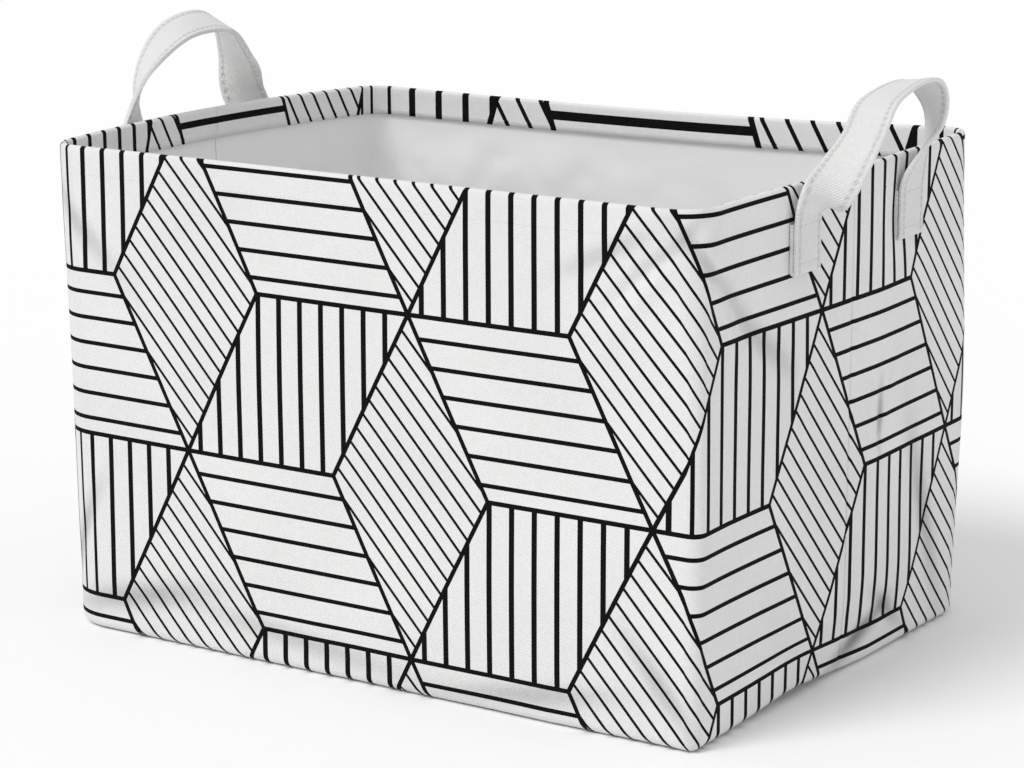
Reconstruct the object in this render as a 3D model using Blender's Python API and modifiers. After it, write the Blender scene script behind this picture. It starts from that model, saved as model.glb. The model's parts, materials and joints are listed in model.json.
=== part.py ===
"""Soft fabric storage bin: two canvas panels with a waterproof lining, sewn at the sides and
under the base, with a strap handle on each short side.

Frame: origin on the floor under the middle of the bin, +X along its length, front at -Y, +Z up.
Lengths are in metres.
"""
import math

import bmesh
import bpy
from mathutils import Vector

# Bin body
LENGTH = 0.404
DEPTH = 0.290
HEIGHT = 0.268
CORNER_RADIUS = 0.024
BASE_EDGE_RADIUS = 0.012
LONG_WALL_BULGE = 0.005
SHORT_WALL_BULGE = 0.004
REAR_SAG = 0.007

# Cloth, thread and the gap that separate pieces keep
CANVAS = 0.0012
LINING = 0.0008
THREAD = 0.0005
CLEARANCE = 0.0003

# Folded hem
HEM_WIDTH = 0.018
HEM_STITCH_DROP = 0.015
LINING_TUCK = 0.010

# Strap handles
STRAP_WIDTH = 0.025
STRAP_THICKNESS = 0.0022
STRAP_EDGE_RADIUS = 0.0007
TAB_LENGTH = 0.029
TAB_TOP_DROP = 0.0165
TAB_SPACING = 0.110
STITCH_INSET = 0.003
LOOP_LEAD = 0.020

# Each loop is a smooth curve from its front tab to its back one through these knots:
# distance out from the hinge line, distance along it, height above it, and how far the
# strap's outer face has turned from the wall's outward direction towards the arch's outside.
LEFT_HANDLE = {
    "side": -1,
    "centre": -0.007,
    "knots": (
        (0.0062, -0.0418, 0.0326, math.radians(54)),
        (0.0047, -0.0167, 0.0562, math.radians(96)),
        (0.0007, 0.0195, 0.0591, math.radians(112)),
        (0.0025, 0.0400, 0.0360, math.radians(86)),
        (0.0040, 0.0500, 0.0150, math.radians(34)),
    ),
}
RIGHT_HANDLE = {
    "side": 1,
    "centre": 0.004,
    "knots": (
        (0.0080, -0.0540, 0.0140, math.radians(50)),
        (0.0120, -0.0370, 0.0350, math.radians(92)),
        (0.0120, -0.0080, 0.0520, math.radians(98)),
        (0.0090, 0.0400, 0.0550, math.radians(95)),
        (0.0082, 0.0570, 0.0340, math.radians(48)),
    ),
}

# How finely curved shapes are stepped
LONG_WALL_STEPS = 6
HALF_SHORT_WALL_STEPS = 2
CORNER_STEPS = 4
WALL_HEIGHT_STEPS = 5
BASE_EDGE_STEPS = 3
RIM_STEPS = 4
SPAN_STEPS = 6
SEAM_STEPS = 8

# Sizes that follow from the ones above
SEAM_GAP = THREAD + 2 * CLEARANCE
RIM_THICKNESS = 2 * CANVAS + LINING + 3 * CLEARANCE
RIM_RADIUS = RIM_THICKNESS / 2
LINING_INSET = CANVAS + CLEARANCE
INSIDE_INSET = LINING_INSET + LINING
THREAD_STAND_OFF = CLEARANCE + THREAD / 2
TAB_THICKNESS = 2 * STRAP_THICKNESS
HINGE_STAND_OFF = CLEARANCE + TAB_THICKNESS + CLEARANCE + STRAP_THICKNESS / 2
HINGE_HEIGHT = HEIGHT - TAB_TOP_DROP + CLEARANCE

# Corners of a square, in half sides from its middle
SQUARE_CORNERS = ((-1, -1), (1, -1), (1, 1), (-1, 1))

MATERIALS = {
    "canvas": ((0.86, 0.86, 0.85, 1.0), 0.85),
    "lining": ((0.80, 0.80, 0.80, 1.0), 0.45),
    "strap": ((0.88, 0.88, 0.87, 1.0), 0.80),
    "thread": ((0.80, 0.80, 0.79, 1.0), 0.60),
}


def clear_scene():
    for obj in list(bpy.data.objects):
        bpy.data.objects.remove(obj, do_unlink=True)


def make_collection(name):
    collection = bpy.data.collections.new(name)
    bpy.context.scene.collection.children.link(collection)
    return collection


def make_material(node, finish):
    colour, roughness = MATERIALS[finish]
    material = bpy.data.materials.new(node + "_" + finish)
    material.use_nodes = True
    shader = material.node_tree.nodes["Principled BSDF"]
    shader.inputs["Base Color"].default_value = colour
    shader.inputs["Roughness"].default_value = roughness
    shader.inputs["Metallic"].default_value = 0.0
    return material


def add_object(name, bm, finish, collection, parent=None):
    mesh = bpy.data.meshes.new(name)
    bm.to_mesh(mesh)
    bm.free()
    mesh.materials.append(make_material(name, finish))
    obj = bpy.data.objects.new(name, mesh)
    obj.parent = parent
    collection.objects.link(obj)
    return obj


def steps(start, end, count):
    return [start + (end - start) * i / count for i in range(count + 1)]


def drape(point):
    """Walls bulge, the long ones at mid height and the short ones towards the rim, and the
    rim sags towards the back left corner."""
    x, y, z = point
    rise = min(max(z / HEIGHT, 0), 1)
    back = y / DEPTH + 0.5
    left = 1 - (x / LENGTH + 0.5) ** 3
    sag = REAR_SAG * rise ** 2 * back ** 2 * left
    long_swell = math.cos(math.pi * x / LENGTH) * math.sin(math.pi * rise)
    short_swell = math.cos(math.pi * y / DEPTH) * math.sin(math.pi / 2 * rise)
    return Vector((
        x + SHORT_WALL_BULGE * short_swell * x / (LENGTH / 2),
        y + LONG_WALL_BULGE * long_swell * y / (DEPTH / 2),
        z - sag,
    ))


def drape_mesh(bm):
    for vert in bm.verts:
        vert.co = drape(vert.co)


def front_outline(inset):
    """Plan of the front half, from the right side seam round the front to the left one."""
    half_length = LENGTH / 2 - inset
    half_depth = DEPTH / 2 - inset
    radius = CORNER_RADIUS - inset
    corner_y = -half_depth + radius
    points = [(half_length, y) for y in steps(-SEAM_GAP / 2, corner_y, HALF_SHORT_WALL_STEPS)]
    for angle in steps(0, -math.pi / 2, CORNER_STEPS)[1:]:
        x = half_length - radius + radius * math.cos(angle)
        points.append((x, corner_y + radius * math.sin(angle)))
    front_end = half_length - radius
    points += [(x, -half_depth) for x in steps(front_end, 0, LONG_WALL_STEPS // 2)[1:]]
    left_half = [(-x, y) for x, y in reversed(points[:-1])]
    return points + left_half


def full_outline(inset):
    front = front_outline(inset)
    return front + [(x, -y) for x, y in reversed(front)]


def base_edge(inset):
    """Rounded bottom edge as (inset, height) pairs, from the base up to the wall."""
    radius = BASE_EDGE_RADIUS - inset
    return [(BASE_EDGE_RADIUS - radius * math.sin(angle), BASE_EDGE_RADIUS - radius * math.cos(angle))
            for angle in steps(0, math.pi / 2, BASE_EDGE_STEPS)]


def canvas_profile():
    """Base edge, wall, fold over the rim and hem, as seen on the printed side."""
    fold_height = HEIGHT - RIM_RADIUS
    profile = base_edge(0)
    profile += [(0, z) for z in steps(BASE_EDGE_RADIUS, fold_height, WALL_HEIGHT_STEPS)[1:]]
    for angle in steps(0, math.pi, RIM_STEPS)[1:]:
        profile.append((RIM_RADIUS - RIM_RADIUS * math.cos(angle),
                        fold_height + RIM_RADIUS * math.sin(angle)))
    profile.append((RIM_THICKNESS, HEIGHT - HEM_WIDTH))
    return profile


def lining_profile():
    top = HEIGHT - LINING_TUCK
    profile = base_edge(LINING_INSET)
    profile += [(LINING_INSET, z) for z in steps(BASE_EDGE_RADIUS, top, WALL_HEIGHT_STEPS)[1:]]
    return profile


def panel(name, profile, thickness, finish, facing, collection):
    """Half of the bin as one cloth: rings are extruded up the profile from a flat base."""
    bm = bmesh.new()
    inset, height = profile[0]
    ring = [bm.verts.new((x, y, height)) for x, y in front_outline(inset)]
    base = bm.faces.new(ring)
    for inset, height in profile[1:]:
        upper = [bm.verts.new((x, y, height)) for x, y in front_outline(inset)]
        for i in range(len(ring) - 1):
            bm.faces.new((ring[i + 1], ring[i], upper[i], upper[i + 1]))
        ring = upper
    if facing > 0:
        bmesh.ops.scale(bm, vec=(1, -1, 1), verts=bm.verts)
    drape_mesh(bm)
    bmesh.ops.recalc_face_normals(bm, faces=bm.faces)
    if base.normal.z > 0:
        bmesh.ops.reverse_faces(bm, faces=bm.faces)
    obj = add_object(name, bm, finish, collection)
    solidify = obj.modifiers.new("cloth_thickness", "SOLIDIFY")
    solidify.thickness = thickness
    solidify.offset = -1.0
    solidify.use_even_offset = True
    return obj


def join_rings(bm, rings):
    """Faces between neighbouring rings, each of which is closed on itself."""
    count = len(rings[0])
    for first, second in zip(rings, rings[1:]):
        for i in range(count):
            j = (i + 1) % count
            bm.faces.new((first[i], first[j], second[j], second[i]))


def sweep(sections):
    """One solid through a row of sections that have the same number of corners."""
    bm = bmesh.new()
    rings = [[bm.verts.new(corner) for corner in corners] for corners in sections]
    join_rings(bm, rings)
    bm.faces.new(rings[0])
    bm.faces.new(rings[-1])
    bmesh.ops.recalc_face_normals(bm, faces=bm.faces)
    return bm


def loop_of_thread(name, rings, collection):
    """A thread that closes on itself: rings are the four edges of its square section."""
    bm = bmesh.new()
    edges = [[bm.verts.new(corner) for corner in ring] for ring in rings]
    join_rings(bm, edges + edges[:1])
    bmesh.ops.recalc_face_normals(bm, faces=bm.faces)
    drape_mesh(bm)
    return add_object(name, bm, "thread", collection)


def square_section(centre, across, outward):
    half = THREAD / 2
    return [centre + across * (a * half) + outward * (b * half) for a, b in SQUARE_CORNERS]


def straight_thread(name, points, facing, collection):
    """A square thread through points on one line, on a surface that faces one way."""
    along = (points[-1] - points[0]).normalized()
    across = along.cross(facing)
    sections = [[drape(corner) for corner in square_section(point, across, facing)]
                for point in points]
    return add_object(name, sweep(sections), "thread", collection)


def hem_stitching(name, inset, collection):
    height = HEIGHT - HEM_STITCH_DROP
    rings = []
    for grow, lift in SQUARE_CORNERS:
        z = height + lift * THREAD / 2
        rings.append([(x, y, z) for x, y in full_outline(inset + grow * THREAD / 2)])
    return loop_of_thread(name, rings, collection)


def side_seam(name, side, collection):
    x = side * (LENGTH / 2 - CANVAS / 2)
    top = HEIGHT - RIM_RADIUS
    points = [Vector((x, 0, z)) for z in steps(BASE_EDGE_RADIUS, top, SEAM_STEPS)]
    return straight_thread(name, points, Vector((side, 0, 0)), collection)


def base_seam(name, collection):
    reach = LENGTH / 2 - BASE_EDGE_RADIUS
    points = [Vector((x, 0, CANVAS / 2)) for x in steps(-reach, reach, SEAM_STEPS)]
    return straight_thread(name, points, Vector((0, 0, 1)), collection)


def corner_seam(name, side, collection):
    """Row that closes a boxed corner, inside along the bottom of a short side."""
    facet_reach = math.cos(math.pi / 4 / BASE_EDGE_STEPS)
    radius = (BASE_EDGE_RADIUS - INSIDE_INSET) * facet_reach - THREAD_STAND_OFF
    lean = math.pi / 4
    x = side * (LENGTH / 2 - BASE_EDGE_RADIUS + radius * math.sin(lean))
    z = BASE_EDGE_RADIUS - radius * math.cos(lean)
    reach = DEPTH / 2 - CORNER_RADIUS
    points = [Vector((x, y, z)) for y in steps(-reach, reach, SEAM_STEPS)]
    outward = Vector((-side, 0, 1)).normalized()
    return straight_thread(name, points, outward, collection)


def handle_tab(name, side, centre_y, collection):
    """The folded strap end that is sewn to the wall."""
    bm = bmesh.new()
    bmesh.ops.create_cube(bm, size=1.0)
    bmesh.ops.scale(bm, vec=(TAB_THICKNESS, STRAP_WIDTH, TAB_LENGTH), verts=bm.verts)
    bmesh.ops.bevel(bm, geom=bm.edges[:], offset=STRAP_EDGE_RADIUS, segments=1,
                    affect="EDGES", profile=0.5)
    x = side * (LENGTH / 2 + CLEARANCE + TAB_THICKNESS / 2)
    z = HEIGHT - TAB_TOP_DROP - TAB_LENGTH / 2
    bmesh.ops.translate(bm, vec=(x, centre_y, z), verts=bm.verts)
    drape_mesh(bm)
    return add_object(name, bm, "strap", collection)


def tab_stitching(name, side, centre_y, collection):
    """Rectangle of stitches on the face of a tab."""
    x = side * (LENGTH / 2 + CLEARANCE + TAB_THICKNESS + THREAD_STAND_OFF)
    middle = HEIGHT - TAB_TOP_DROP - TAB_LENGTH / 2
    half_width = STRAP_WIDTH / 2 - STITCH_INSET
    half_length = TAB_LENGTH / 2 - STITCH_INSET
    rings = []
    for grow, push in SQUARE_CORNERS:
        w = half_width + grow * THREAD / 2
        h = half_length + grow * THREAD / 2
        out = x + side * push * THREAD / 2
        rings.append([(out, centre_y + a * w, middle + b * h) for a, b in SQUARE_CORNERS])
    return loop_of_thread(name, rings, collection)


def hinge_x(side, centre_y):
    """Where a strap leaves the wall, just outside its tabs."""
    tab_y = centre_y + TAB_SPACING / 2
    return drape(Vector((side * (LENGTH / 2 + HINGE_STAND_OFF), tab_y, HINGE_HEIGHT))).x


def catmull_rom(before, start, end, after, share):
    """Point at a share of the way from start to end, smooth through all four."""
    values = []
    for a, b, c, d in zip(before, start, end, after):
        values.append(0.5 * (2 * b + (c - a) * share + (2 * a - 5 * b + 4 * c - d) * share ** 2
                             + (3 * b - a - 3 * c + d) * share ** 3))
    return values


def loop_stations(knots):
    """Middle line of a strap loop, with its turn at each step."""
    half = TAB_SPACING / 2
    row = [(0, -half, -LOOP_LEAD, 0), (0, -half, 0, 0), *knots]
    row += [(0, half, 0, 0), (0, half, -LOOP_LEAD, 0)]
    stations = []
    for i in range(1, len(row) - 2):
        for step in range(SPAN_STEPS):
            stations.append(catmull_rom(*row[i - 1:i + 3], step / SPAN_STEPS))
    return stations + [list(row[-2])]


def loop_frames(side, knots):
    """Points of the middle line with the strap's width and outward directions."""
    stations = loop_stations(knots)
    points = [Vector((side * out, along, rise)) for out, along, rise, _ in stations]
    frames = []
    for i, point in enumerate(points):
        if i in (0, len(points) - 1):
            heading = Vector((0, 0, 1 if i == 0 else -1))
        else:
            heading = (points[i + 1] - points[i - 1]).normalized()
        wall_out = Vector((side, 0, 0))
        facing = (wall_out - heading * heading.dot(wall_out)).normalized()
        turn = -side * stations[i][3]
        outward = facing * math.cos(turn) + heading.cross(facing) * math.sin(turn)
        frames.append((point, heading.cross(outward).normalized(), outward))
    return frames


def row_thread(frames, across_shift, outward_shift):
    sections = []
    for point, across, outward in frames:
        centre = point + across * across_shift + outward * outward_shift
        sections.append(square_section(centre, across, outward))
    return sweep(sections)


def strap_band(frames, row):
    """The strap is creased along its stitch rows, so that a twist stays true there."""
    columns = [-STRAP_WIDTH / 2, -row, 0, row, STRAP_WIDTH / 2]
    half = STRAP_THICKNESS / 2
    sections = []
    for point, across, outward in frames:
        under = [point + across * c - outward * half for c in columns]
        top = [point + across * c + outward * half for c in reversed(columns)]
        sections.append(under + top)
    return sweep(sections)


def handle(label, spec, collection):
    side, centre_y = spec["side"], spec["centre"]
    for place, shift in (("front", -1), ("back", 1)):
        y = centre_y + shift * TAB_SPACING / 2
        handle_tab(f"{label}_handle_{place}_tab", side, y, collection)
        tab_stitching(f"{label}_{place}_tab_box_stitch", side, y, collection)
    hinge = bpy.data.objects.new(f"{label}_handle_hinge", None)
    hinge.location = (hinge_x(side, centre_y), centre_y, HINGE_HEIGHT)
    collection.objects.link(hinge)
    frames = loop_frames(side, spec["knots"])
    row = STRAP_WIDTH / 2 - STITCH_INSET
    add_object(f"{label}_handle_loop", strap_band(frames, row), "strap", collection, hinge)
    lift = STRAP_THICKNESS / 2 + THREAD_STAND_OFF
    for edge, across_shift in (("first", -row), ("second", row)):
        for face, outward_shift in (("top", lift), ("under", -lift)):
            name = f"{label}_handle_{edge}_edge_{face}_stitch"
            thread = row_thread(frames, across_shift, outward_shift)
            add_object(name, thread, "thread", collection, hinge)


def build():
    clear_scene()
    bin_parts = make_collection("fabric_storage_bin")
    panel("canvas_front", canvas_profile(), CANVAS, "canvas", -1, bin_parts)
    panel("canvas_back", canvas_profile(), CANVAS, "canvas", 1, bin_parts)
    panel("lining_front", lining_profile(), LINING, "lining", -1, bin_parts)
    panel("lining_back", lining_profile(), LINING, "lining", 1, bin_parts)
    for label, side in (("left", -1), ("right", 1)):
        side_seam(f"{label}_side_seam_thread", side, bin_parts)
        corner_seam(f"{label}_boxed_corner_thread", side, bin_parts)
    base_seam("base_seam_thread", bin_parts)
    hem_stitching("hem_stitching_outer", -THREAD_STAND_OFF, bin_parts)
    hem_stitching("hem_stitching_inner", RIM_THICKNESS + THREAD_STAND_OFF, bin_parts)
    handle("left", LEFT_HANDLE, bin_parts)
    handle("right", RIGHT_HANDLE, bin_parts)


build()
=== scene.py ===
import json
import math

import bmesh
import bpy
from mathutils import Matrix, Vector, noise


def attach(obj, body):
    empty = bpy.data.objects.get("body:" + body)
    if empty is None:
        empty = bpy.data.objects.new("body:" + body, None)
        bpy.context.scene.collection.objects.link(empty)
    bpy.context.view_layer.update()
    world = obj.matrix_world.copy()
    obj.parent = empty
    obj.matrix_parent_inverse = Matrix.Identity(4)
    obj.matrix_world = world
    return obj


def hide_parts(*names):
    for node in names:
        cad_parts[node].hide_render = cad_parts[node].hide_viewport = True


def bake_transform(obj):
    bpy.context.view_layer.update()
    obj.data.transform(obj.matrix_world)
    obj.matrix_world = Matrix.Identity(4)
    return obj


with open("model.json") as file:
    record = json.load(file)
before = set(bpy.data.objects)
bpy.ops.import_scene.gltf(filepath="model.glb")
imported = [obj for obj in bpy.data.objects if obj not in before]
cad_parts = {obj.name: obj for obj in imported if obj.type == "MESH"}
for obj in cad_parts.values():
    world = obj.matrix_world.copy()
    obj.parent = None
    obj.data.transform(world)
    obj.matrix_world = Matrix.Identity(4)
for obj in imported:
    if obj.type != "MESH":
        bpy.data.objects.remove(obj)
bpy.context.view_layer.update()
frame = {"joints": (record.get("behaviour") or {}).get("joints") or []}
print("frame loaded")

# Outer shape of the bin: a soft box whose corners are rounder at the rim than at mid height
box = {
    "rightReach": 0.2042,
    "leftReach": 0.1990,
    "halfDepth": 0.1485,
    "height": 0.268,
    "nearRadii": ((0.0, 0.006), (0.25, 0.007), (0.7, 0.007), (0.88, 0.013), (1.0, 0.022)),
    "leftRadii": ((0.0, 0.028), (0.5, 0.023), (1.0, 0.017)),
    "rearRadii": ((0.0, 0.029), (0.5, 0.018), (1.0, 0.025)),
    "longBulge": 0.0015,
    "rightBulge": 0.0012,
    "leftBulge": 0.0076,
    "leftBulgeCentre": -0.007,
    "rearSag": 0.009,
    "leftSag": 0.003,
    "leftLean": 0.0022,
    "nearLead": 0.0018,
    "nearLeadReach": 0.022,
    "baseEdgeRadius": 0.005,
    "canvasThickness": 0.0012,
    "liningThickness": 0.0008,
    "clearance": 0.0003,
    "hemWidth": 0.018,
    "hemStitchDrop": 0.015,
    "liningTuck": 0.010,
    "seamGap": 0.0004,
    "cellSize": 0.0036,
    "nearSeam": (0.0, 0.0006, 0.0012, 0.0020, 0.0031, 0.0046),
    "cornerCount": 9,
    "baseEdgeSteps": 6,
    "rimSteps": 8,
    "hemRows": 5,
}
box["rimThickness"] = 2 * box["canvasThickness"] + box["liningThickness"] + 3 * box["clearance"]
box["liningInset"] = box["canvasThickness"] + box["clearance"]

# The print is measured along the walls from the near right corner, to the back along the right
# wall and to the left along the front, on a box that is a little larger than the bin
printBox = {"halfLength": 0.205, "halfDepth": 0.149}
printBox["round"] = 4 * (printBox["halfLength"] + printBox["halfDepth"])

# How the cloth stands: slow waves, and single folds where the sewing pulls it. Only a share of a
# fold's depth is in the shape, so that the print stays straight over it, and the surface's
# shading carries the rest, deepened, with painted shade darkening the paper in the folds' hollows
cloth = {
    "waves": ((0.130, 0.0009, 3.0), (0.060, 0.0003, 11.0)),  # size, depth, seed
    "rimShare": 0.6,
    "foldShare": 0.3,
    "foldGain": 3.0,
    # how far the folds' hollows darken the paper: painted shade
    "foldPaintedShade": 110.0,
    "seamDepth": 0.0005,
    "seamWidth": 0.0020,
    "ridge": {"at": 0.178, "reach": 0.115, "height": 0.0030, "softness": 0.03},
    "folds": (
        {"s": -0.018, "z": 0.246, "angle": 38, "length": 0.030, "width": 0.0045, "depth": -0.0016},
        {"s": -0.030, "z": 0.228, "angle": 52, "length": 0.034, "width": 0.0060, "depth": 0.0014},
        {"s": -0.052, "z": 0.243, "angle": 25, "length": 0.028, "width": 0.0050, "depth": -0.0010},
        {"s": 0.014, "z": 0.236, "angle": -40, "length": 0.028, "width": 0.0050, "depth": -0.0018},
        {"s": 0.026, "z": 0.214, "angle": -62, "length": 0.035, "width": 0.0070, "depth": 0.0016},
        {"s": 0.060, "z": 0.196, "angle": -35, "length": 0.040, "width": 0.0065, "depth": -0.0012},
        {"s": 0.095, "z": 0.150, "angle": 60, "length": 0.050, "width": 0.0080, "depth": 0.0012},
        {"s": 0.181, "z": 0.130, "angle": 90, "length": 0.018, "width": 0.0030, "depth": -0.0022},
        {"s": 0.190, "z": 0.140, "angle": 68, "length": 0.030, "width": 0.0040, "depth": 0.0014},
        {"s": 0.166, "z": 0.016, "angle": 24, "length": 0.026, "width": 0.0055, "depth": -0.0030},
        {"s": 0.196, "z": 0.024, "angle": -38, "length": 0.020, "width": 0.0050, "depth": -0.0018},
        {"s": 0.142, "z": 0.034, "angle": 32, "length": 0.024, "width": 0.0060, "depth": 0.0012},
        {"s": 0.236, "z": 0.070, "angle": -70, "length": 0.050, "width": 0.0080, "depth": -0.0016},
        {"s": -0.100, "z": 0.012, "angle": 8, "length": 0.050, "width": 0.0060, "depth": -0.0014},
        {"s": -0.240, "z": 0.016, "angle": -6, "length": 0.060, "width": 0.0060, "depth": -0.0012},
        {"s": -0.350, "z": 0.022, "angle": 12, "length": 0.050, "width": 0.0070, "depth": -0.0016},
        {"s": -0.396, "z": 0.050, "angle": 55, "length": 0.036, "width": 0.0060, "depth": -0.0016},
        {"s": -0.020, "z": 0.030, "angle": -50, "length": 0.030, "width": 0.0060, "depth": -0.0014},
        {"s": -0.385, "z": 0.225, "angle": -42, "length": 0.036, "width": 0.0060, "depth": -0.0012},
    ),
    "baseLift": {"s": 0.100, "reach": 0.045, "height": 0.0040},
    "baseLiftTop": 0.05,
    "baseWaves": {"size": 0.07, "seed": 61.0, "height": 0.0014},
    "tabQuiet": {"along": 0.020, "up": 0.024},
    "foldReach": 3,  # a fold ends this many lengths away
    "ridgeRise": 5,
    "rimFade": 0.8,
}

# Strap handles, with the knots of their loops measured from the line they swing on:
# out from the wall, along it, up, and the turn of the strap's outer face in degrees
strap = {
    "width": 0.025,
    "thickness": 0.0022,
    "edgeRadius": 0.0007,
    "tabLength": 0.029,
    "tabTopDrop": 0.0165,
    "tabSpacing": 0.110,
    "foldRadius": 0.0012,
    "outerLayer": -0.0023,
    "lead": 0.020,
    "legLift": 0.0005,
    "underTop": 0.003,
    "outerTop": 0.004,
    "underSteps": 5,
    "foldSteps": 7,
    "outerSteps": 6,
    "spanSteps": 12,
    "acrossSteps": 8,
    "edgeSteps": 2,
    "edgeAngle": 50,
    "stitchInset": 0.003,
    "waver": {"reach": 0.0005, "scale": 40, "seed": 5},
    "hingeBelow": 0.002,
    "hingeAbove": 0.009,
}
handles = (
    {
        "name": "left",
        "side": -1,
        "centre": -0.007,
        "knots": (
            (0.0052, -0.0390, 0.0326, 54),
            (0.0032, -0.0125, 0.0562, 96),
            (0.0000, 0.0235, 0.0585, 112),
            (0.0020, 0.0425, 0.0360, 90),
            (0.0040, 0.0500, 0.0150, 34),
        ),
    },
    {
        "name": "right",
        "side": 1,
        "centre": 0.004,
        "knots": (
            (0.0095, -0.0535, 0.0140, 58),
            (0.0145, -0.0345, 0.0345, 92),
            (0.0120, -0.0080, 0.0520, 98),
            (0.0090, 0.0400, 0.0550, 95),
            (0.0082, 0.0570, 0.0340, 48),
        ),
    },
)
joints = {joint["name"]: Vector(joint["pos_m"]) for joint in frame["joints"]}


def mix(a, b, share):
    return a + (b - a) * share


def smooth(share):
    share = min(max(share, 0), 1)
    return share * share * (3 - 2 * share)


def bell(distance, width):
    return math.exp(-((distance / width) ** 2))


def riseOf(z):
    return min(max(z / box["height"], 0), 1)


def cornerRadius(radii, z):
    rise = riseOf(z)
    for (lowRise, lowRadius), (highRise, highRadius) in zip(radii, radii[1:]):
        if rise <= highRise:
            break
    return mix(lowRadius, highRadius, smooth((rise - lowRise) / (highRise - lowRise)))


def drape(point):
    x, y, z = point
    rise = riseOf(z)
    depth = 2 * box["halfDepth"]
    length = box["rightReach"] + box["leftReach"]
    back = min(max(y / depth + 0.5, 0), 1)
    along = min(max((x + box["leftReach"]) / length, 0), 1)
    sag = box["rearSag"] * rise**2 * back**2 * (1 - along**3)
    sag += box["leftSag"] * rise**2 * (1 - back) * (1 - along)
    longSwell = math.sin(math.pi * along) * math.sin(math.pi * rise)
    centre = box["leftBulgeCentre"] if x < 0 else 0
    swell = box["leftBulge"] if x < 0 else box["rightBulge"]
    shortSwell = max(math.cos(math.pi * (y - centre) / depth), 0) * math.sin(math.pi / 2 * rise)
    reach = box["nearLeadReach"]
    nearCorner = bell(box["rightReach"] - x, reach) * bell(y + box["halfDepth"], reach)
    lead = box["nearLead"] * nearCorner * smooth(rise * 2)
    lean = box["leftLean"] * smooth(rise * 2) * (1 - along) * (1 - back)
    return Vector((
        x + swell * shortSwell * x / box["rightReach"] + lead,
        y + box["longBulge"] * longSwell * y / box["halfDepth"] + lean,
        z - sag,
    ))


def wallColumns():
    cell = box["cellSize"]
    nearSeam = box["nearSeam"]
    reach = box["halfDepth"] - box["rearRadii"][-1][1]
    shares = [y / reach for y in nearSeam]
    count = round((reach - nearSeam[-1]) / cell)
    shares += [mix(shares[-1], 1, (i + 1) / count) for i in range(count)]
    frontCount = round((box["rightReach"] + box["leftReach"]) / cell)
    cornerCount = box["cornerCount"]
    columns = [("right", share) for share in shares]
    columns += [("nearCorner", (i + 1) / cornerCount) for i in range(cornerCount)]
    columns += [("front", (i + 1) / frontCount) for i in range(frontCount)]
    columns += [("farCorner", (i + 1) / cornerCount) for i in range(cornerCount)]
    columns += [("left", 1 - share) for share in reversed(shares[:-1])]
    return columns


def planOfFront(half, column, z):
    part, share = column
    halfDepth = box["halfDepth"]
    near = cornerRadius(box["nearRadii" if half == "front" else "rearRadii"], z)
    far = cornerRadius(box["leftRadii"], z)
    gap = box["seamGap"] / 2
    rightEnd = box["rightReach"] - near
    leftEnd = far - box["leftReach"]
    nearEnd = near - halfDepth
    farEnd = far - halfDepth
    rightS = nearEnd + printBox["halfDepth"]
    leftS = -2 * printBox["halfLength"] - farEnd - printBox["halfDepth"]
    angle = share * math.pi / 2
    if part == "right":
        y = mix(-gap, nearEnd, share)
        return box["rightReach"], y, 1, 0, y + printBox["halfDepth"]
    if part == "nearCorner":
        x = rightEnd + near * math.cos(angle)
        y = nearEnd - near * math.sin(angle)
        s = mix(rightS, rightEnd - printBox["halfLength"], share)
        return x, y, math.cos(angle), -math.sin(angle), s
    if part == "front":
        x = mix(rightEnd, leftEnd, share)
        return x, -halfDepth, 0, -1, x - printBox["halfLength"]
    if part == "farCorner":
        x = leftEnd - far * math.sin(angle)
        y = farEnd - far * math.cos(angle)
        s = mix(leftEnd - printBox["halfLength"], leftS, share)
        return x, y, -math.sin(angle), -math.cos(angle), s
    y = mix(farEnd, -gap, share)
    return -box["leftReach"], y, -1, 0, -2 * printBox["halfLength"] - y - printBox["halfDepth"]


def plan(half, column, z):
    x, y, nx, ny, s = planOfFront(half, column, z)
    if half == "back":
        return x, -y, nx, -ny, 2 * printBox["halfDepth"] - s
    return x, y, nx, ny, s


def roundNoise(s, z, size, seed):
    radius = printBox["round"] / (2 * math.pi)
    angle = s / radius
    place = Vector((radius * math.cos(angle), radius * math.sin(angle), z))
    return noise.noise(place / size + Vector((seed, seed, 0)))


def tabPlaces():
    places = []
    for handle in handles:
        for shift in (-1, 1):
            y = handle["centre"] + shift * strap["tabSpacing"] / 2
            if handle["side"] > 0:
                places.append(y + printBox["halfDepth"])
            else:
                s = -2 * printBox["halfLength"] - y - printBox["halfDepth"]
                places.append(s)
                places.append(s + printBox["round"])
    return places


tabCentres = tabPlaces()


def quietAtTabs(s, z):
    middle = box["height"] - strap["tabTopDrop"] - strap["tabLength"] / 2
    reach = cloth["tabQuiet"]
    quiet = 1.0
    for place in tabCentres:
        if abs(s - place) < 3 * reach["along"]:
            quiet *= 1 - bell(s - place, reach["along"]) * bell(z - middle, reach["up"])
    return quiet


def foldsAt(s, z):
    total = 0.0
    for fold in cloth["folds"]:
        ds = s - fold["s"]
        dz = z - fold["z"]
        if abs(ds) > cloth["foldReach"] * fold["length"]:
            continue
        angle = math.radians(fold["angle"])
        along = ds * math.cos(angle) + dz * math.sin(angle)
        across = dz * math.cos(angle) - ds * math.sin(angle)
        total += fold["depth"] * bell(along, fold["length"]) * bell(across, fold["width"])
    return total


def seamAt(s):
    quarter = printBox["halfDepth"]
    depth = 0.0
    for place in (quarter, quarter + printBox["round"] / 2, quarter - printBox["round"] / 2):
        depth -= cloth["seamDepth"] * bell(s - place, cloth["seamWidth"])
    return depth


def ridgeAt(s):
    ridge = cloth["ridge"]
    slope = math.hypot((s - ridge["at"]) / ridge["reach"], ridge["softness"])
    return ridge["height"] * max(0, 1 - slope)


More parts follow.
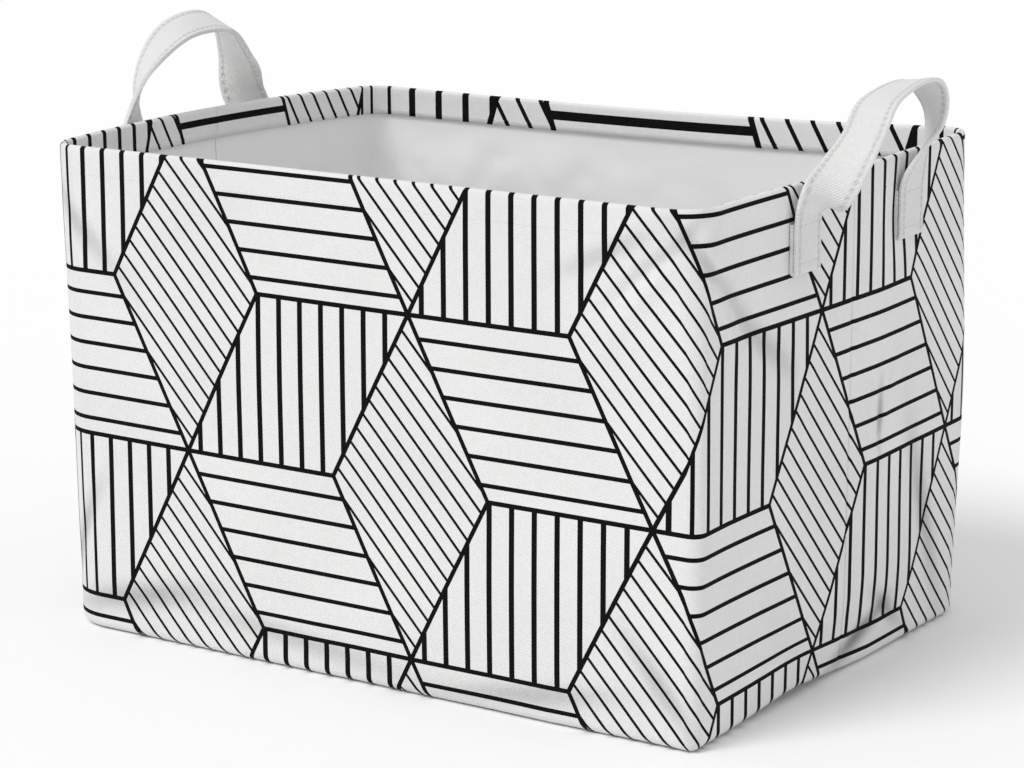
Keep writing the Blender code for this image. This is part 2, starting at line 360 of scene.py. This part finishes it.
def relief(s, z):
    rise = riseOf(z)
    total = 0.0
    for size, depth, seed in cloth["waves"]:
        total += depth * roundNoise(s, z, size, seed)
    fade = cloth["rimFade"]
    total *= mix(1, cloth["rimShare"], smooth((rise - fade) / (1 - fade)))
    total += cloth["foldShare"] * foldsAt(s, z) + ridgeAt(s) * smooth(rise * cloth["ridgeRise"])
    return total * quietAtTabs(s, z) + seamAt(s)


def liftAt(s, z):
    lift = cloth["baseLift"]
    ripple = cloth["baseWaves"]
    low = 1 - smooth(z / cloth["baseLiftTop"])
    waves = ripple["height"] * abs(roundNoise(s, 0, ripple["size"], ripple["seed"]))
    return low * (lift["height"] * bell(s - lift["s"], lift["reach"]) + waves)


def wallPoint(half, column, z, inset, inward=None):
    x, y, nx, ny, s = plan(half, column, z)
    out = relief(s, z) - inset
    if inward:
        out -= inward(s, z)
    return drape((x + nx * out, y + ny * out, z + liftAt(s, z))), s


def baseEdgeRows(own):
    radius = box["baseEdgeRadius"]
    steps = box["baseEdgeSteps"]
    rows = []
    for i in range(steps):
        angle = math.pi / 2 * i / steps
        rows.append((radius - own * math.sin(angle), radius - own * math.cos(angle), False))
    return rows


# Each row up a panel is its distance inside the outer face, its height, and whether it is hem
def canvasRows():
    radius = box["baseEdgeRadius"]
    fold = box["rimThickness"] / 2
    foldHeight = box["height"] - fold
    wallCount = round((foldHeight - radius) / box["cellSize"])
    rows = baseEdgeRows(radius)
    rows += [(0, mix(radius, foldHeight, i / wallCount), False) for i in range(wallCount + 1)]
    steps = box["rimSteps"]
    for i in range(1, steps + 1):
        angle = math.pi * i / steps
        inHem = i > steps / 2
        rows.append((fold - fold * math.cos(angle), foldHeight + fold * math.sin(angle), inHem))
    bottom = box["height"] - box["hemWidth"]
    count = box["hemRows"]
    rows += [(2 * fold, mix(foldHeight, bottom, (i + 1) / count), True) for i in range(count)]
    return rows


def liningRows():
    radius = box["baseEdgeRadius"]
    inset = box["liningInset"]
    top = box["height"] - box["liningTuck"]
    count = round((top - radius) / box["cellSize"])
    rows = baseEdgeRows(radius - inset)
    return rows + [(inset, mix(radius, top, i / count), False) for i in range(count + 1)]


# The print inside the hem has its own size on each wall: tile edge, where along the wall an
# upright tile meets a slanted one, and the row at the rim. It is stretched up and down about the
# level line that shows there
hemPrint = {
    "back": {"tile": 0.137, "at": -0.1105, "rimRow": 0.788},
    "front": {"tile": 0.110, "at": -0.060, "rimRow": 0.770},
    "left": {"tile": 0.096, "at": -0.062, "rimRow": 0.808},
    "right": {"tile": 0.110, "at": -0.062, "rimRow": 0.790},
    "edgeColumn": 1.35,
    "levelRow": 0.7145,
    "stretch": 1.7,
}

# The tiles: their edge, a row's height as a share of it, and the column and row at the near corner
tiling = {"edge": 0.0955, "height": 0.947, "cornerColumn": 3.266, "baseRow": 1.15}


def placeAlong(half, wall, s):
    if half == "back":
        s = 2 * printBox["halfDepth"] - s
    if wall in ("front", "back"):
        return s + printBox["halfLength"]
    toSeam = s - printBox["halfDepth"] if wall == "right" else (
        -2 * printBox["halfLength"] - printBox["halfDepth"] - s
    )
    return toSeam if half == "front" else -toSeam


def hemUv(half, wall, s, down):
    settings = hemPrint[wall]
    place = placeAlong(half, wall, s)
    column = hemPrint["edgeColumn"] + (place - settings["at"]) / settings["tile"]
    above = settings["rimRow"] - hemPrint["levelRow"] - down / (settings["tile"] * tiling["height"])
    row = hemPrint["levelRow"] + above / hemPrint["stretch"]
    return (
        (column - tiling["cornerColumn"]) * tiling["edge"],
        (row * tiling["height"] + tiling["baseRow"]) * tiling["edge"],
    )


def hemWall(half, part, share):
    if part in ("right", "left"):
        return part
    if part == "front":
        return half
    if part == "nearCorner":
        return "right" if share <= 0.5 else half
    return half if share <= 0.5 else "left"


def gridOf(bm, columns, rows):
    bmesh.ops.create_grid(bm, x_segments=columns - 1, y_segments=rows - 1, size=1)
    places = {}
    for vert in bm.verts:
        i = round((vert.co.x + 1) / 2 * (columns - 1))
        j = round((vert.co.y + 1) / 2 * (rows - 1))
        places[vert] = (i, j)
    return places


def addObject(name, bm, material):
    mesh = bpy.data.meshes.new(name)
    bm.to_mesh(mesh)
    bm.free()
    mesh.materials.append(material)
    mesh.shade_smooth()
    obj = bpy.data.objects.new(name, mesh)
    bpy.context.scene.collection.objects.link(obj)
    return obj


def solidify(obj, thickness, offset):
    modifier = obj.modifiers.new("thickness", "SOLIDIFY")
    modifier.thickness = thickness
    modifier.offset = offset


# The lining stands off the canvas in soft wrinkles, most of all near the corners
wrinkles = {
    "layers": ((1.0, 0.05, 71.0), (0.5, 0.022, 83.0)),  # share, size, seed
    "corners": ((1.0, 0.64, 0.12), (0.8, 0.30, 0.06), (0.8, -0.43, 0.06)),  # share, place, reach
    "height": 0.0036,
    "everywhere": 0.45,
    "fadeUnderHem": 0.03,
}


def wrinkleAt(s, z):
    soft = sum(
        share * abs(roundNoise(s, z, size, seed)) for share, size, seed in wrinkles["layers"]
    )
    corner = sum(share * bell(s - place, reach) for share, place, reach in wrinkles["corners"])
    fade = smooth((box["height"] - box["hemWidth"] - z) / wrinkles["fadeUnderHem"])
    return wrinkles["height"] * fade * soft * (wrinkles["everywhere"] + corner)


# How far up the cloth each row lies, counting only some of the rows
def distancesUp(rows, counted):
    distances = [0.0]
    for row, previous in zip(rows[1:], rows):
        step = math.hypot(row[0] - previous[0], row[1] - previous[1]) if counted(row) else 0
        distances.append(distances[-1] + step)
    return distances


def placePanelUvs(bm, half, columns, rows, places, spots):
    printLayer = bm.loops.layers.uv.new("print")
    weaveLayer = bm.loops.layers.uv.new("weave")
    downs = distancesUp(rows, lambda row: row[2])
    travelled = distancesUp(rows, lambda row: True)
    for face in bm.faces:
        folded = max(places[loop.vert][1] for loop in face.loops)
        inHem = rows[folded][2]
        middle = sum(places[loop.vert][0] for loop in face.loops) / len(face.loops)
        wall = hemWall(half, *columns[math.ceil(middle)])
        for loop in face.loops:
            i, j = places[loop.vert]
            s = spots[i, j]
            loop[printLayer].uv = hemUv(half, wall, s, downs[j]) if inHem else (s, rows[j][1])
            loop[weaveLayer].uv = (s, travelled[j])
    return printLayer, weaveLayer


# The base of a half is one face inside the lowest row
def addBase(bm, half, columns, places, printLayer, weaveLayer):
    byPlace = {place: vert for vert, place in places.items()}
    base = bm.faces.new([byPlace[i, 0] for i in range(len(columns))])
    sign = 1 if half == "front" else -1
    for loop in base.loops:
        x, y = loop.vert.co.x, loop.vert.co.y * sign
        s = x - printBox["halfLength"]
        under = -(y + printBox["halfDepth"])
        loop[printLayer].uv = (s if sign > 0 else 2 * printBox["halfDepth"] - s, under)
        loop[weaveLayer].uv = (x, y)
    bmesh.ops.recalc_face_normals(bm, faces=bm.faces)
    if base.normal.z > 0:
        bmesh.ops.reverse_faces(bm, faces=bm.faces)


def makePanel(name, half, rows, thickness, material, inward=None):
    columns = wallColumns()
    bm = bmesh.new()
    places = gridOf(bm, len(columns), len(rows))
    points, spots = {}, {}
    for j, (inset, z, _) in enumerate(rows):
        for i, column in enumerate(columns):
            points[i, j], spots[i, j] = wallPoint(half, column, z, inset, inward=inward)
    for vert, place in places.items():
        vert.co = points[place]
    layers = placePanelUvs(bm, half, columns, rows, places, spots)
    addBase(bm, half, columns, places, *layers)
    obj = addObject(name, bm, material)
    solidify(obj, thickness, -1)
    return obj


# Shader arithmetic: a Field is one value of a node tree, or the tree alone when it has no socket
class Field:
    def __init__(self, tree, socket=None):
        self.tree = tree
        self.socket = socket

    def node(self, kind, inputs, output=0, **settings):
        made = self.tree.nodes.new(kind)
        for key, value in settings.items():
            setattr(made, key, value)
        for key, value in inputs.items():
            if isinstance(value, Field):
                self.tree.links.new(value.socket, made.inputs[key])
            else:
                made.inputs[key].default_value = value
        return Field(self.tree, made.outputs[output])

    def math(self, operation, *values):
        given = values or (self,)
        return self.node("ShaderNodeMath", dict(enumerate(given)), operation=operation)

    def __add__(self, other):
        return self.math("ADD", self, other)

    def __radd__(self, other):
        return self.math("ADD", other, self)

    def __sub__(self, other):
        return self.math("SUBTRACT", self, other)

    def __rsub__(self, other):
        return self.math("SUBTRACT", other, self)

    def __mul__(self, other):
        return self.math("MULTIPLY", self, other)

    def __rmul__(self, other):
        return self.math("MULTIPLY", other, self)

    def __truediv__(self, other):
        return self.math("DIVIDE", self, other)

    def __rtruediv__(self, other):
        return self.math("DIVIDE", other, self)

    def __mod__(self, other):
        return self.math("FLOORED_MODULO", self, other)

    def __lt__(self, other):
        return self.math("LESS_THAN", self, other)

    def __gt__(self, other):
        return self.math("GREATER_THAN", self, other)

    def __abs__(self):
        return self.math("ABSOLUTE", self)

    def floor(self):
        return self.math("FLOOR", self)

    def rounded(self):
        return (self + 0.5).floor()

    def least(self, other):
        return self.math("MINIMUM", self, other)

    def most(self, other):
        return self.math("MAXIMUM", self, other)

    def sine(self):
        return self.math("SINE", self)


def startMaterial(name):
    material = bpy.data.materials.new(name)
    material.use_nodes = True
    tree = material.node_tree
    return material, tree.nodes["Principled BSDF"], Field(tree)


def parts(place):
    return [place.node("ShaderNodeSeparateXYZ", {0: place}, output=axis) for axis in ("X", "Y")]


# Tiles of upright, level and slanted stripes. Sizes are shares of a tile's edge.
printLines = {
    "tileEdge": 0.0263,
    "upright": {"start": 0.0880, "step": 0.1405, "last": 9, "width": 0.0335},
    "level": {"start": 0.1305, "step": 0.1550, "last": 5, "width": 0.0245},
    "slanted": {"start": 0.0880, "step": 0.0857, "last": 13, "width": 0.0168, "slope": 1.0843},
    "edgeLean": 0.884,
    "repeat": 1.5,
    "flip": 0.75,
    "paper": (0.80, 0.80, 0.795, 1),
    "ink": (0.003, 0.003, 0.003, 1),
}


def stripes(value, lines, scale):
    index = ((value - lines["start"]) / lines["step"]).rounded().most(0).least(lines["last"])
    distance = abs(value - lines["start"] - index * lines["step"]) * scale
    return distance < lines["width"] / 2


def inkField(place):
    s, z = parts(place)
    high = tiling["height"]
    column = s / tiling["edge"] + tiling["cornerColumn"]
    row = (z / tiling["edge"] - tiling["baseRow"]) / high
    repeat = printLines["repeat"]
    cell = (column / repeat).floor()
    across = column - cell * repeat
    turn = (row - cell) % 2
    upright = turn < 1
    rise = turn % 1
    lean = 0.5 * (upright * rise + (1 - upright) * (1 - rise))
    slanted = (across < lean).most(across > lean + 1)
    lines = printLines["slanted"]
    centreColumn = cell + (across > printLines["flip"])
    centreRow = ((row - centreColumn - 1) / 2).rounded() * 2 + 1 + centreColumn
    sideways = column - centreColumn * repeat
    upwards = (row - centreRow) * high
    reach = high + 0.5 * lines["slope"]
    slant = (high - upwards - sideways * lines["slope"]) / reach
    slantInk = stripes(slant, lines, reach / math.hypot(1, lines["slope"]))
    uprightInk = stripes(across, printLines["upright"], 1)
    levelInk = stripes(1 - rise, printLines["level"], high)
    half = printLines["tileEdge"] / 2
    leanEdge = abs(across - lean).least(abs(across - lean - 1)) * printLines["edgeLean"] < half
    levelEdge = rise.least(1 - rise) * high < half
    tileInk = (upright * uprightInk + (1 - upright) * levelInk).most(levelEdge)
    return (slanted * slantInk + (1 - slanted) * tileInk).most(leanEdge)


weave = {"along": 0.83, "across": -0.56, "fuzzScale": 1400.0, "ribHeight": 0.5}


def weaveHeight(place, pitch):
    u, v = parts(place)
    rib = ((u * weave["along"] + v * weave["across"]) * (2 * math.pi / pitch)).sine()
    return rib * weave["ribHeight"] + place.node(
        "ShaderNodeTexNoise", {"Vector": place, "Scale": weave["fuzzScale"], "Detail": 2.0}
    )


def finish(material, shader, look, colour, height):
    tree = material.node_tree
    tree.links.new(colour.socket, shader.inputs["Base Color"])
    shader.inputs["Roughness"].default_value = look["roughness"]
    shader.inputs["Specular IOR Level"].default_value = look["specular"]
    bump = height.node("ShaderNodeBump", {
        "Strength": look["bumpStrength"], "Distance": look["bumpDistance"], "Height": height,
    })
    tree.links.new(bump.socket, shader.inputs["Normal"])
    return material


# A colour mottled at random, and darkened further by painted shade where some is given
def mottled(place, colour, layers, paintedShade=0):
    shade = paintedShade + 1
    for amount, scale in layers:
        cloud = place.node("ShaderNodeTexNoise", {"Vector": place, "Scale": scale, "Detail": 4.0})
        shade = shade - (cloud - 0.5) * amount
    return place.node(
        "ShaderNodeVectorMath", {0: colour[:3], "Scale": shade}, operation="SCALE"
    )


def foldShading(place):
    s, z = parts(place)
    total = 0
    for fold in cloth["folds"]:
        angle = math.radians(fold["angle"])
        ds, dz = s - fold["s"], z - fold["z"]
        along = (ds * math.cos(angle) + dz * math.sin(angle)) / fold["length"]
        across = (dz * math.cos(angle) - ds * math.sin(angle)) / fold["width"]
        depth = fold["depth"] * (1 - cloth["foldShare"]) * cloth["foldGain"]
        total = total + (0 - along * along - across * across).math("EXPONENT") * depth
    return total


canvasLook = {
    "pitch": 0.0011,
    "bumpStrength": 0.6,
    "bumpDistance": 0.0003,
    "roughness": 0.95,
    "specular": 0.15,
    "creaseScale": 24.0,
    "creaseShare": 5.0,
    "mottles": ((0.10, 260.0), (0.16, 14.0)),
}


def canvasMaterial():
    material, shader, start = startMaterial("printedCanvas")
    place = start.node("ShaderNodeUVMap", {}, uv_map="print")
    woven = start.node("ShaderNodeUVMap", {}, uv_map="weave")
    ink = inkField(place)
    folds = foldShading(place)
    # Painted shade: the paper is darkened where the folds sink in
    paper = mottled(
        woven, printLines["paper"], canvasLook["mottles"], folds.least(0) * cloth["foldPaintedShade"]
    )
    colour = place.node(
        "ShaderNodeMix",
        {0: ink, 6: paper, 7: printLines["ink"]},
        output=2,
        data_type="RGBA",
    )
    crease = woven.node(
        "ShaderNodeTexNoise", {"Vector": woven, "Scale": canvasLook["creaseScale"], "Detail": 3.0}
    )
    height = weaveHeight(woven, canvasLook["pitch"]) + crease * canvasLook["creaseShare"]
    height = height + folds / canvasLook["bumpDistance"]
    return finish(material, shader, canvasLook, colour, height)


strapLook = {
    "colour": (0.77, 0.77, 0.765, 1),
    "pitch": 0.0012,
    "bumpStrength": 0.8,
    "bumpDistance": 0.0003,
    "roughness": 0.95,
    "specular": 0.2,
    "mottles": ((0.16, 420.0), (0.14, 40.0)),
    "rowWidth": 0.0011,
    "rowDepth": 4.0,
    # darkening of the strap along the stitch rows: painted shade
    "rowPaintedShade": 0.15,
    "rowRhythm": 1650.0,
    "rhythmShare": 0.4,
}


# The rows of stitches sink into the strap, and painted shade darkens the strap's colour along them
def strapMaterial():
    material, shader, start = startMaterial("strapCanvas")
    place = start.node("ShaderNodeUVMap", {}, uv_map="weave")
    u, v = parts(place)
    fromMiddle = abs(u - strap["width"] / 2)
    fromRow = (fromMiddle - (strap["width"] / 2 - strap["stitchInset"])) / strapLook["rowWidth"]
    share = strapLook["rhythmShare"]
    rhythm = 1 - share + share * (v * strapLook["rowRhythm"]).sine()
    groove = (0 - fromRow * fromRow).math("EXPONENT") * rhythm
    # Painted shade along the stitch rows
    colour = mottled(
        place, strapLook["colour"], strapLook["mottles"], groove * -strapLook["rowPaintedShade"]
    )
    height = weaveHeight(place, strapLook["pitch"]) - groove * strapLook["rowDepth"]
    return finish(material, shader, strapLook, colour, height)


liningLook = {
    "colour": (0.85, 0.85, 0.85, 1),
    "bumpStrength": 0.45,
    "bumpDistance": 0.001,
    "roughness": 0.42,
    "specular": 0.5,
    "mottles": ((0.05, 40.0),),
    "rippleScale": 55.0,
}


def liningMaterial():
    material, shader, start = startMaterial("coatedLining")
    place = start.node("ShaderNodeUVMap", {}, uv_map="weave")
    colour = mottled(place, liningLook["colour"], liningLook["mottles"])
    height = place.node("ShaderNodeTexNoise", {
        "Vector": place, "Scale": liningLook["rippleScale"], "Detail": 3.0,
    })
    return finish(material, shader, liningLook, colour, height)


# The thread's own off-white, darkened a little as painted shade of the stitch holes
threadLook = {"colour": (0.65, 0.65, 0.64, 1), "roughness": 0.6}


def threadMaterial():
    material, shader, _ = startMaterial("sewingThread")
    shader.inputs["Base Color"].default_value = threadLook["colour"]
    shader.inputs["Roughness"].default_value = threadLook["roughness"]
    return material


canvas = canvasMaterial()
lining = liningMaterial()
webbing = strapMaterial()
thread = threadMaterial()
print("materials made")

for half in ("front", "back"):
    panel = makePanel(f"canvas_{half}_cloth", half, canvasRows(), box["canvasThickness"], canvas)
    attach(panel, "bin")
    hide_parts(f"canvas_{half}")
    inner = makePanel(
        f"lining_{half}_sheet", half, liningRows(), box["liningThickness"], lining, wrinkleAt
    )
    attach(inner, "bin")
    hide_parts(f"lining_{half}")
    print(half, "panel and lining made")

stitch = {"length": 0.0024, "pitch": 0.0031, "width": 0.00050, "height": 0.00040}
strapStitch = {"length": 0.0028, "pitch": 0.0038, "width": 0.0007, "height": 0.0006}
stitchFaces = {"round": 6, "along": 4}


def alongRow(points, normals, pitch):
    lengths = [0.0]
    for a, b in zip(points, points[1:]):
        lengths.append(lengths[-1] + (b - a).length)
    count = max(1, round(lengths[-1] / pitch))
    spots = []  # place, step to the next point, normal, and how far between which two points
    index = 0
    for k in range(count):
        target = (k + 0.5) * lengths[-1] / count
        while lengths[index + 1] < target:
            index += 1
        share = (target - lengths[index]) / (lengths[index + 1] - lengths[index])
        point = points[index].lerp(points[index + 1], share)
        normal = normals[index].lerp(normals[index + 1], share).normalized()
        step = points[index + 1] - points[index]
        spots.append((point, step, normal, index, share))
    return spots


def addStitches(bm, points, normals, settings=stitch, uvs=None):
    layers = [
        bm.loops.layers.uv.get(name) or bm.loops.layers.uv.new(name) for name in ("print", "weave")
    ]
    for point, step, normal, index, share in alongRow(points, normals, settings["pitch"]):
        heading = step.normalized()
        across = heading.cross(normal).normalized()
        up = across.cross(heading)
        turn = Matrix((heading, across, up)).transposed().to_4x4()
        size = Matrix.Diagonal((
            settings["length"] / 2, settings["width"] / 2, settings["height"] / 2, 1,
        ))
        made = bmesh.ops.create_uvsphere(
            bm, u_segments=stitchFaces["round"], v_segments=stitchFaces["along"], radius=1,
            matrix=Matrix.Translation(point) @ turn @ size,
        )
        if uvs:
            for vert in made["verts"]:
                here = share + (vert.co - point).dot(heading) / step.length
                place = [mix(a, b, here) for a, b in zip(uvs[index], uvs[index + 1])]
                for loop in vert.link_loops:
                    for layer in layers:
                        loop[layer].uv = place


def finishStitches(name, bm, nodes, material=thread):
    obj = addObject(name, bm, material)
    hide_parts(*nodes)
    return obj


def hemRow(inset, facing):
    z = box["height"] - box["hemStitchDrop"]
    down = box["hemStitchDrop"] + box["rimThickness"] / 2
    bm = bmesh.new()
    for half in ("front", "back"):
        points, normals, uvs = [], [], []
        for column in wallColumns():
            nx, ny = plan(half, column, z)[2:4]
            point, s = wallPoint(half, column, z, inset)
            points.append(point)
            normals.append(Vector((nx, ny, 0)) * facing)
            uvs.append((s, z) if facing > 0 else hemUv(half, hemWall(half, *column), s, down))
        addStitches(bm, points, normals, uvs=uvs)
    return bm


# A stitch takes the colour of the print under it
for row, inset, facing in (("outer", 0.0, 1), ("inner", box["rimThickness"], -1)):
    made = finishStitches(
        f"hem_stitches_{row}", hemRow(inset, facing), [f"hem_stitching_{row}"], canvas
    )
    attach(made, "bin")
print("hem stitches made")

# The threads inside the side seams, along the middle of the base and in the boxed corners
seams = {
    "sideStart": 0.012,
    "sideStep": 0.004,
    "sideCount": 63,
    "sideInset": 0.0011,
    "baseEnd": 0.01,
    "baseSteps": 80,
    "baseHeight": 0.0007,
    "cornerEnd": 0.030,
    "cornerSteps": 60,
    "cornerProud": 0.0004,
}


def addSeam(name, points, outward, node):
    bm = bmesh.new()
    addStitches(bm, points, [outward] * len(points))
    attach(finishStitches(name, bm, [node]), "bin")


def sideSeam(side, sign, column):
    heights = [seams["sideStart"] + seams["sideStep"] * i for i in range(seams["sideCount"])]
    points = [wallPoint("front", column, z, seams["sideInset"])[0] for z in heights]
    for point in points:
        point.y = 0
    addSeam(f"{side}_seam_stitches", points, Vector((sign, 0, 0)), f"{side}_side_seam_thread")


def baseSeam():
    left = seams["baseEnd"] - box["leftReach"]
    right = box["rightReach"] - seams["baseEnd"]
    count = seams["baseSteps"]
    height = seams["baseHeight"]
    points = [Vector((mix(left, right, i / count), 0, height)) for i in range(count + 1)]
    addSeam("base_seam_stitches", points, Vector((0, 0, -1)), "base_seam_thread")


def boxedCornerSeam(side, sign):
    inside = box["baseEdgeRadius"] - box["liningInset"] - box["liningThickness"]
    inside -= seams["cornerProud"]
    lean = math.pi / 4
    wall = box["rightReach"] if sign > 0 else box["leftReach"]
    x = sign * (wall - box["baseEdgeRadius"] + inside * math.sin(lean))
    z = box["baseEdgeRadius"] - inside * math.cos(lean)
    reach = box["halfDepth"] - seams["cornerEnd"]
    count = seams["cornerSteps"]
    points = [drape((x, mix(-reach, reach, i / count), z)) for i in range(count + 1)]
    outward = Vector((-sign, 0, 1)).normalized()
    addSeam(f"{side}_boxed_corner_stitches", points, outward, f"{side}_boxed_corner_thread")


sideSeam("right", 1, wallColumns()[0])
sideSeam("left", -1, wallColumns()[-1])
baseSeam()
boxedCornerSeam("left", -1)
boxedCornerSeam("right", 1)
print("seams made")


def catmullRom(before, start, end, after, share):
    values = []
    for a, b, c, d in zip(before, start, end, after):
        square, cube = share**2, share**3
        values.append(0.5 * (
            2 * b + (c - a) * share + (2 * a - 5 * b + 4 * c - d) * square
            + (3 * b - a - 3 * c + d) * cube
        ))
    return values


def loopStations(knots):
    half = strap["tabSpacing"] / 2
    outer = strap["outerLayer"]
    lifted = outer + strap["legLift"]
    row = [(outer, -half, -strap["lead"], 0), (lifted, -half, 0, 0)]
    row += [(out, along, rise, math.radians(turn)) for out, along, rise, turn in knots]
    row += [(lifted, half, 0, 0), (outer, half, -strap["lead"], 0)]
    stations = []
    for i in range(1, len(row) - 2):
        for step in range(strap["spanSteps"]):
            stations.append(catmullRom(*row[i - 1:i + 3], step / strap["spanSteps"]))
    return stations + [list(row[-2])]


# One end of a strap, from its folded-under end, round the fold and up to the line it swings on
def tabPath():
    radius = strap["foldRadius"]
    bottom = -strap["tabLength"] + radius + strap["thickness"] / 2
    outer = strap["outerLayer"]
    under = outer - 2 * radius
    count = strap["underSteps"]
    path = [(under, mix(-strap["underTop"], bottom, i / count)) for i in range(count + 1)]
    for i in range(1, strap["foldSteps"]):
        angle = math.pi * i / strap["foldSteps"]
        path.append((outer - radius - radius * math.cos(angle), bottom - radius * math.sin(angle)))
    count = strap["outerSteps"]
    return path + [(outer, mix(bottom, -strap["outerTop"], i / count)) for i in range(count + 1)]


def strapFrames(handle):
    side = handle["side"]
    half = strap["tabSpacing"] / 2
    stations = loopStations(handle["knots"])
    leg = tabPath()
    points = [Vector((side * out, -half, rise)) for out, rise in leg]
    first = len(points)
    points += [Vector((side * out, along, rise)) for out, along, rise, _ in stations]
    last = len(points)
    points += [Vector((side * out, half, rise)) for out, rise in reversed(leg)]
    frames = []
    for i, point in enumerate(points):
        before, after = points[max(i - 1, 0)], points[min(i + 1, len(points) - 1)]
        heading = (after - before).normalized()
        if first <= i < last:
            wallOut = Vector((side, 0, 0))
            facing = (wallOut - heading * heading.dot(wallOut)).normalized()
            turn = -side * stations[i - first][3]
            outward = facing * math.cos(turn) + heading.cross(facing) * math.sin(turn)
            across = heading.cross(outward).normalized()
        else:
            across = Vector((0, side if i < first else -side, 0))
            outward = across.cross(heading).normalized()
        frames.append((point, heading, across, outward))
    origin = joints[f"{handle['name']}_handle_swing"]
    return [(origin + p, h, a, o) for p, h, a, o in frames], first, last


def makeStrap(handle, frames):
    count = strap["acrossSteps"]
    waver = strap["waver"]
    bm = bmesh.new()
    places = gridOf(bm, count + 1, len(frames))
    weaveLayer = bm.loops.layers.uv.new("weave")
    travelled = [0.0]
    for a, b in zip(frames, frames[1:]):
        travelled.append(travelled[-1] + (b[0] - a[0]).length)
    for vert, (i, j) in places.items():
        point, _, across, outward = frames[j]
        shift = mix(-0.5, 0.5, i / count) * strap["width"]
        spot = Vector((travelled[j] * waver["scale"], handle["side"] * waver["seed"], 0))
        vert.co = point + across * (shift + waver["reach"] * noise.noise(spot))
    for face in bm.faces:
        for loop in face.loops:
            i, j = places[loop.vert]
            loop[weaveLayer].uv = (i / count * strap["width"], travelled[j])
    obj = addObject(f"{handle['name']}_handle_strap", bm, webbing)
    solidify(obj, strap["thickness"], 0)
    bevel = obj.modifiers.new("softEdges", "BEVEL")
    bevel.width = strap["edgeRadius"]
    bevel.segments = strap["edgeSteps"]
    bevel.limit_method = "ANGLE"
    bevel.angle_limit = math.radians(strap["edgeAngle"])
    return obj


def makeStrapStitches(handle, frames, first, last):
    bm = bmesh.new()
    row = strap["width"] / 2 - strap["stitchInset"]
    lift = strap["thickness"] / 2
    tab = strap["outerSteps"]
    for shift in (-row, row):
        for face in (1, -1):
            shown = frames[first - tab - 1:last + tab + 1] if face > 0 else frames[first + 2:last - 2]
            points = [p + a * shift + o * (face * lift) for p, _, a, o in shown]
            addStitches(bm, points, [o * face for _, _, _, o in shown], strapStitch)
    for index in (first - 1, first - tab, last, last + tab - 1):
        point, _, across, outward = frames[index]
        centre = point + outward * lift
        ends = [centre - across * row, centre + across * row]
        addStitches(bm, ends, [outward, outward], strapStitch)
    name = handle["name"]
    nodes = [f"{name}_front_tab_box_stitch", f"{name}_back_tab_box_stitch"]
    for edge in ("first", "second"):
        nodes += [f"{name}_handle_{edge}_edge_{face}_stitch" for face in ("top", "under")]
    return finishStitches(f"{name}_handle_stitches", bm, nodes)


for handle in handles:
    frames, first, last = strapFrames(handle)
    made = makeStrap(handle, frames)
    name = handle["name"]
    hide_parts(f"{name}_handle_loop", f"{name}_handle_front_tab", f"{name}_handle_back_tab")
    rows = makeStrapStitches(handle, frames, first, last)
    for piece in (made, rows):
        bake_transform(piece)
    print(name, "handle made")

studio = {
    "floorSize": 14.0,
    "floorColour": (0.95, 0.95, 0.95, 1),
    "floorRoughness": 0.9,
    "floorGap": 0.0004,
    "worldStrength": 0.72,
    "keyStrength": 1.3,
    "keySoftness": 24,
    "keyPlace": (-0.45, -1.1, 1.5),
}


def makeFloor():
    bm = bmesh.new()
    bmesh.ops.create_grid(
        bm, x_segments=1, y_segments=1, size=studio["floorSize"] / 2,
        matrix=Matrix.Translation((0, 0, -studio["floorGap"])),
    )
    material, shader, _ = startMaterial("floor")
    shader.inputs["Base Color"].default_value = studio["floorColour"]
    shader.inputs["Roughness"].default_value = studio["floorRoughness"]
    shader.inputs["Specular IOR Level"].default_value = 0.0
    addObject("studioFloor", bm, material)


def makeKeyLight():
    data = bpy.data.lights.new("keyLight", "SUN")
    data.energy = studio["keyStrength"]
    data.angle = math.radians(studio["keySoftness"])
    light = bpy.data.objects.new("keyLight", data)
    light.location = studio["keyPlace"]
    aim = -Vector(studio["keyPlace"])
    light.rotation_euler = aim.to_track_quat("-Z", "Y").to_euler()
    bpy.context.scene.collection.objects.link(light)


# The world lights the bin a little less brightly than it shows behind it
def makeWorld():
    world = bpy.data.worlds.new("studioWorld")
    bpy.context.scene.world = world
    world.use_nodes = True
    tree = world.node_tree
    seen = Field(tree).node("ShaderNodeLightPath", {}, output="Is Camera Ray")
    lit, shown = (
        seen.node("ShaderNodeBackground", {"Color": (1, 1, 1, 1), "Strength": strength})
        for strength in (studio["worldStrength"], 1.0)
    )
    mixed = seen.node("ShaderNodeMixShader", {0: seen, 1: lit, 2: shown})
    tree.links.new(mixed.socket, tree.nodes["World Output"].inputs["Surface"])


makeFloor()
makeWorld()
makeKeyLight()

cameraSettings = {
    "location": (1.0159, -1.5168, 0.5685),
    "yaw": 33.83,
    "pitch": 13.53,
    "roll": 0.0054,
    "lens": 121.3,
}


def makeCamera():
    data = bpy.data.cameras.new("camera")
    data.lens = cameraSettings["lens"]
    data.sensor_width = 36.0
    camera = bpy.data.objects.new("camera", data)
    yaw, pitch = math.radians(cameraSettings["yaw"]), math.radians(cameraSettings["pitch"])
    forward = Vector((
        -math.sin(yaw) * math.cos(pitch), math.cos(yaw) * math.cos(pitch), -math.sin(pitch),
    ))
    right = Vector((math.cos(yaw), math.sin(yaw), 0))
    up = right.cross(forward)
    roll = cameraSettings["roll"]
    turned = Matrix((right - roll * up, up + roll * right, -forward)).transposed()
    camera.matrix_world = Matrix.Translation(cameraSettings["location"]) @ turned.to_4x4()
    bpy.context.scene.collection.objects.link(camera)
    bpy.context.scene.camera = camera


makeCamera()
bpy.context.scene.view_settings.view_transform = "Standard"
print("studio made")
